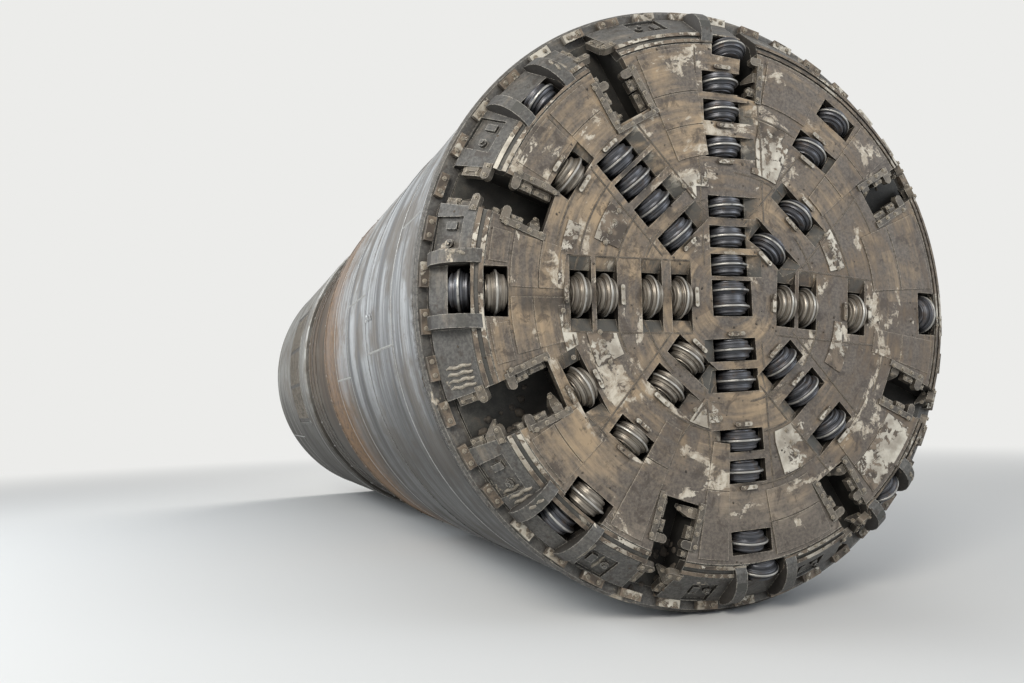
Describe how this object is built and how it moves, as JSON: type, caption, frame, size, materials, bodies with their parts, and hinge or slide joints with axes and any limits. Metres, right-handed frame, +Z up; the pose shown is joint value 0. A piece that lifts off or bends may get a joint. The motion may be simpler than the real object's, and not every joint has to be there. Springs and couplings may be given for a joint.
{
  "type": "shielded tunnel boring machine front with cutterhead",
  "caption": "Turning cutterhead with rolling disc cutters on a telescopic shield with gripper shoes, thrust rams and a bolted rear bulkhead.",
  "frame": {"origin": "centre of the rear bulkhead's bolt circle, on its rear face and on the machine's axis", "axes": "+Y rearwards along the machine's axis, so the cutterhead faces -Y; +Z up; +X to the right seen from the front"},
  "size_m": [6.9998, 18.55, 6.9998],
  "materials": {
    "worn_face": "mud-stained worn steel plate",
    "gauge_steel": "scoured gauge steel with chipped pale hardfacing",
    "cutter_steel": "dark polished cutter steel",
    "wear_steel": "pale chipped wear blocks",
    "tooth_steel": "scuffed scraper teeth",
    "inner_steel": "dark grey-green housing steel",
    "shield_steel": "bright steel polished in rings",
    "inner_skin": "brown stained skin",
    "frame_steel": "dull primer"
  },
  "bodies": {
    "rear_shield": {"inner_skin": "inner_skin", "rear_skin": "shield_steel", "rear_bulkhead": "frame_steel", "thrust_rams": "frame_steel", "gripper_guides": "frame_steel"},
    "front_shield": {"front_skin": "shield_steel", "front_bulkhead": "frame_steel"},
    "cutterhead": {"face_plate": "worn_face", "gauge_ring": "gauge_steel", "cutter_housings": "inner_steel", "cutter_shafts": "inner_steel", "scraper_teeth": "tooth_steel", "wear_blocks": "wear_steel", "head_frame": "inner_steel"},
    "gripper_shoe_right": {"gripper_shoe_right": "gauge_steel"},
    "gripper_shoe_left": {"gripper_shoe_left": "gauge_steel"},
    "centre_cutter": {"centre_cutter": "cutter_steel"},
    "cutter_n1": {"cutter_n1": "cutter_steel"},
    "cutter_n2": {"cutter_n2": "cutter_steel"},
    "cutter_n3": {"cutter_n3": "cutter_steel"},
    "cutter_n4": {"cutter_n4": "cutter_steel"},
    "cutter_n5": {"cutter_n5": "cutter_steel"},
    "cutter_n6": {"cutter_n6": "cutter_steel"},
    "cutter_ng1": {"cutter_ng1": "cutter_steel"},
    "cutter_nne1": {"cutter_nne1": "cutter_steel"},
    "cutter_neg1": {"cutter_neg1": "cutter_steel"},
    "cutter_ne1": {"cutter_ne1": "cutter_steel"},
    "cutter_ne2": {"cutter_ne2": "cutter_steel"},
    "cutter_e1": {"cutter_e1": "cutter_steel"},
    "cutter_e2": {"cutter_e2": "cutter_steel"},
    "cutter_e3": {"cutter_e3": "cutter_steel"},
    "cutter_eg1": {"cutter_eg1": "cutter_steel"},
    "cutter_seg1": {"cutter_seg1": "cutter_steel"},
    "cutter_se1": {"cutter_se1": "cutter_steel"},
    "cutter_se2": {"cutter_se2": "cutter_steel"},
    "cutter_se3": {"cutter_se3": "cutter_steel"},
    "cutter_sg1": {"cutter_sg1": "cutter_steel"},
    "cutter_s1": {"cutter_s1": "cutter_steel"},
    "cutter_s2": {"cutter_s2": "cutter_steel"},
    "cutter_s3": {"cutter_s3": "cutter_steel"},
    "cutter_s4": {"cutter_s4": "cutter_steel"},
    "cutter_s5": {"cutter_s5": "cutter_steel"},
    "cutter_sw1": {"cutter_sw1": "cutter_steel"},
    "cutter_sw2": {"cutter_sw2": "cutter_steel"},
    "cutter_sw3": {"cutter_sw3": "cutter_steel"},
    "cutter_sw4": {"cutter_sw4": "cutter_steel"},
    "cutter_swg1": {"cutter_swg1": "cutter_steel"},
    "cutter_wsw1": {"cutter_wsw1": "cutter_steel"},
    "cutter_w1": {"cutter_w1": "cutter_steel"},
    "cutter_w2": {"cutter_w2": "cutter_steel"},
    "cutter_w3": {"cutter_w3": "cutter_steel"},
    "cutter_w4": {"cutter_w4": "cutter_steel"},
    "cutter_w5": {"cutter_w5": "cutter_steel"},
    "cutter_wg1": {"cutter_wg1": "cutter_steel"},
    "cutter_wnw1": {"cutter_wnw1": "cutter_steel"},
    "cutter_nwg1": {"cutter_nwg1": "cutter_steel"},
    "cutter_nw1": {"cutter_nw1": "cutter_steel"},
    "cutter_nw2": {"cutter_nw2": "cutter_steel"},
    "cutter_nw3": {"cutter_nw3": "cutter_steel"},
    "cutter_nw4": {"cutter_nw4": "cutter_steel"}
  },
  "joints": [
    {"name": "telescope", "type": "slide", "parent": "rear_shield", "child": "front_shield", "axis": [0, 1, 0], "range_m": [0, 1.8]},
    {"name": "head_turn", "type": "hinge", "parent": "front_shield", "child": "cutterhead", "pos_m": [0, -13.305, 0], "axis": [0, -1, 0], "continuous": true},
    {"name": "shoe_right_out", "type": "slide", "parent": "rear_shield", "child": "gripper_shoe_right", "axis": [1, 0, 0], "range_m": [0, 0.15]},
    {"name": "shoe_left_out", "type": "slide", "parent": "rear_shield", "child": "gripper_shoe_left", "axis": [-1, 0, 0], "range_m": [0, 0.15]},
    {"name": "centre_cutter_turn", "type": "hinge", "parent": "cutterhead", "child": "centre_cutter", "pos_m": [0, -15.3585, 0], "axis": [0, 0, 1], "continuous": true},
    {"name": "cutter_n1_turn", "type": "hinge", "parent": "cutterhead", "child": "cutter_n1", "pos_m": [0, -15.3585, 0.37], "axis": [0, 0, 1], "continuous": true},
    {"name": "cutter_n2_turn", "type": "hinge", "parent": "cutterhead", "child": "cutter_n2", "pos_m": [0, -15.3585, 0.69], "axis": [0, 0, 1], "continuous": true},
    {"name": "cutter_n3_turn", "type": "hinge", "parent": "cutterhead", "child": "cutter_n3", "pos_m": [0, -15.3585, 1.03], "axis": [0, 0, 1], "continuous": true},
    {"name": "cutter_n4_turn", "type": "hinge", "parent": "cutterhead", "child": "cutter_n4", "pos_m": [0, -15.3585, 1.72], "axis": [0, 0, 1], "continuous": true},
    {"name": "cutter_n5_turn", "type": "hinge", "parent": "cutterhead", "child": "cutter_n5", "pos_m": [0, -15.3585, 2.135], "axis": [0, 0, 1], "continuous": true},
    {"name": "cutter_n6_turn", "type": "hinge", "parent": "cutterhead", "child": "cutter_n6", "pos_m": [0, -15.3585, 2.465], "axis": [0, 0, 1], "continuous": true},
    {"name": "cutter_ng1_turn", "type": "hinge", "parent": "cutterhead", "child": "cutter_ng1", "pos_m": [0.1503, -15.3366, 2.86799], "axis": [0.0502, 0.2819, 0.9581], "continuous": true},
    {"name": "cutter_nne1_turn", "type": "hinge", "parent": "cutterhead", "child": "cutter_nne1", "pos_m": [1.20398, -15.3585, 1.77161], "axis": [0.5621, 0, 0.8271], "continuous": true},
    {"name": "cutter_neg1_turn", "type": "hinge", "parent": "cutterhead", "child": "cutter_neg1", "pos_m": [1.56863, -15.3461, 2.15904], "axis": [0.5828, 0.1295, 0.8022], "continuous": true},
    {"name": "cutter_ne1_turn", "type": "hinge", "parent": "cutterhead", "child": "cutter_ne1", "pos_m": [0.56406, -15.3585, 0.5841], "axis": [0.6947, 0, 0.7193], "continuous": true},
    {"name": "cutter_ne2_turn", "type": "hinge", "parent": "cutterhead", "child": "cutter_ne2", "pos_m": [0.96002, -15.3585, 0.99413], "axis": [0.6947, 0, 0.7193], "continuous": true},
    {"name": "cutter_e1_turn", "type": "hinge", "parent": "cutterhead", "child": "cutter_e1", "pos_m": [0.71128, -15.3585, -0.06223], "axis": [0.9962, 0, -0.0872], "continuous": true},
    {"name": "cutter_e2_turn", "type": "hinge", "parent": "cutterhead", "child": "cutter_e2", "pos_m": [1.00815, -15.3585, -0.0882], "axis": [0.9962, 0, -0.0872], "continuous": true},
    {"name": "cutter_e3_turn", "type": "hinge", "parent": "cutterhead", "child": "cutter_e3", "pos_m": [1.7015, -15.3585, -0.14886], "axis": [0.9962, 0, -0.0872], "continuous": true},
    {"name": "cutter_eg1_turn", "type": "hinge", "parent": "cutterhead", "child": "cutter_eg1", "pos_m": [2.74948, -15.3414, -0.14409], "axis": [0.9797, 0.1936, -0.0513], "continuous": true},
    {"name": "cutter_seg1_turn", "type": "hinge", "parent": "cutterhead", "child": "cutter_seg1", "pos_m": [2.04289, -15.262, -2.19073], "axis": [0.6334, 0.3708, -0.6792], "continuous": true},
    {"name": "cutter_se1_turn", "type": "hinge", "parent": "cutterhead", "child": "cutter_se1", "pos_m": [0.63744, -15.3585, -0.72049], "axis": [0.6626, 0, -0.749], "continuous": true},
    {"name": "cutter_se2_turn", "type": "hinge", "parent": "cutterhead", "child": "cutter_se2", "pos_m": [0.91839, -15.3585, -1.03805], "axis": [0.6626, 0, -0.749], "continuous": true},
    {"name": "cutter_se3_turn", "type": "hinge", "parent": "cutterhead", "child": "cutter_se3", "pos_m": [1.27356, -15.3585, -1.43949], "axis": [0.6626, 0, -0.749], "continuous": true},
    {"name": "cutter_sg1_turn", "type": "hinge", "parent": "cutterhead", "child": "cutter_sg1", "pos_m": [0.25921, -15.2831, -2.96278], "axis": [0.0815, 0.3557, -0.931], "continuous": true},
    {"name": "cutter_s1_turn", "type": "hinge", "parent": "cutterhead", "child": "cutter_s1", "pos_m": [0.02003, -15.3585, -0.57365], "axis": [0.0349, 0, -0.9994], "continuous": true},
    {"name": "cutter_s2_turn", "type": "hinge", "parent": "cutterhead", "child": "cutter_s2", "pos_m": [0.0319, -15.3585, -0.91344], "axis": [0.0349, 0, -0.9994], "continuous": true},
    {"name": "cutter_s3_turn", "type": "hinge", "parent": "cutterhead", "child": "cutter_s3", "pos_m": [0.05486, -15.3585, -1.57104], "axis": [0.0349, 0, -0.9994], "continuous": true},
    {"name": "cutter_s4_turn", "type": "hinge", "parent": "cutterhead", "child": "cutter_s4", "pos_m": [0.06669, -15.3585, -1.90984], "axis": [0.0349, 0, -0.9994], "continuous": true},
    {"name": "cutter_s5_turn", "type": "hinge", "parent": "cutterhead", "child": "cutter_s5", "pos_m": [0.09284, -15.3466, -2.65866], "axis": [0.0346, 0.1231, -0.9918], "continuous": true},
    {"name": "cutter_sw1_turn", "type": "hinge", "parent": "cutterhead", "child": "cutter_sw1", "pos_m": [-0.57733, -15.3585, -0.66414], "axis": [-0.6561, 0, -0.7547], "continuous": true},
    {"name": "cutter_sw2_turn", "type": "hinge", "parent": "cutterhead", "child": "cutter_sw2", "pos_m": [-0.84304, -15.3585, -0.9698], "axis": [-0.6561, 0, -0.7547], "continuous": true},
    {"name": "cutter_sw3_turn", "type": "hinge", "parent": "cutterhead", "child": "cutter_sw3", "pos_m": [-1.30556, -15.3585, -1.50187], "axis": [-0.6561, 0, -0.7547], "continuous": true},
    {"name": "cutter_sw4_turn", "type": "hinge", "parent": "cutterhead", "child": "cutter_sw4", "pos_m": [-1.82295, -15.3402, -2.09707], "axis": [-0.6411, 0.2127, -0.7374], "continuous": true},
    {"name": "cutter_swg1_turn", "type": "hinge", "parent": "cutterhead", "child": "cutter_swg1", "pos_m": [-2.07574, -15.1866, -2.26528], "axis": [-0.6117, 0.4245, -0.6676], "continuous": true},
    {"name": "cutter_wsw1_turn", "type": "hinge", "parent": "cutterhead", "child": "cutter_wsw1", "pos_m": [-1.84999, -15.3585, -0.95076], "axis": [-0.8894, 0, -0.4571], "continuous": true},
    {"name": "cutter_w1_turn", "type": "hinge", "parent": "cutterhead", "child": "cutter_w1", "pos_m": [-0.64497, -15.3585, 0.00563], "axis": [-1, 0, 0.0087], "continuous": true},
    {"name": "cutter_w2_turn", "type": "hinge", "parent": "cutterhead", "child": "cutter_w2", "pos_m": [-1.00796, -15.3585, 0.0088], "axis": [-1, 0, 0.0087], "continuous": true},
    {"name": "cutter_w3_turn", "type": "hinge", "parent": "cutterhead", "child": "cutter_w3", "pos_m": [-1.54494, -15.3585, 0.01348], "axis": [-1, 0, 0.0087], "continuous": true},
    {"name": "cutter_w4_turn", "type": "hinge", "parent": "cutterhead", "child": "cutter_w4", "pos_m": [-1.84493, -15.3585, 0.0161], "axis": [-1, 0, 0.0087], "continuous": true},
    {"name": "cutter_w5_turn", "type": "hinge", "parent": "cutterhead", "child": "cutter_w5", "pos_m": [-2.75314, -15.3414, 0.02403], "axis": [-0.981, 0.1936, 0.0086], "continuous": true},
    {"name": "cutter_wg1_turn", "type": "hinge", "parent": "cutterhead", "child": "cutter_wg1", "pos_m": [-3.06345, -15.195, 0.05347], "axis": [-0.908, 0.4186, 0.0159], "continuous": true},
    {"name": "cutter_wnw1_turn", "type": "hinge", "parent": "cutterhead", "child": "cutter_wnw1", "pos_m": [-1.91126, -15.3585, 1.27948], "axis": [-0.831, 0, 0.5563], "continuous": true},
    {"name": "cutter_nwg1_turn", "type": "hinge", "parent": "cutterhead", "child": "cutter_nwg1", "pos_m": [-2.15597, -15.2604, 2.082], "axis": [-0.6677, 0.372, 0.6448], "continuous": true},
    {"name": "cutter_nw1_turn", "type": "hinge", "parent": "cutterhead", "child": "cutter_nw1", "pos_m": [-0.64236, -15.3585, 0.71342], "axis": [-0.6691, 0, 0.7431], "continuous": true},
    {"name": "cutter_nw2_turn", "type": "hinge", "parent": "cutterhead", "child": "cutter_nw2", "pos_m": [-0.91336, -15.3585, 1.01439], "axis": [-0.6691, 0, 0.7431], "continuous": true},
    {"name": "cutter_nw3_turn", "type": "hinge", "parent": "cutterhead", "child": "cutter_nw3", "pos_m": [-1.13752, -15.3585, 1.26335], "axis": [-0.6691, 0, 0.7431], "continuous": true},
    {"name": "cutter_nw4_turn", "type": "hinge", "parent": "cutterhead", "child": "cutter_nw4", "pos_m": [-1.33826, -15.3585, 1.48629], "axis": [-0.6691, 0, 0.7431], "continuous": true}
  ]
}
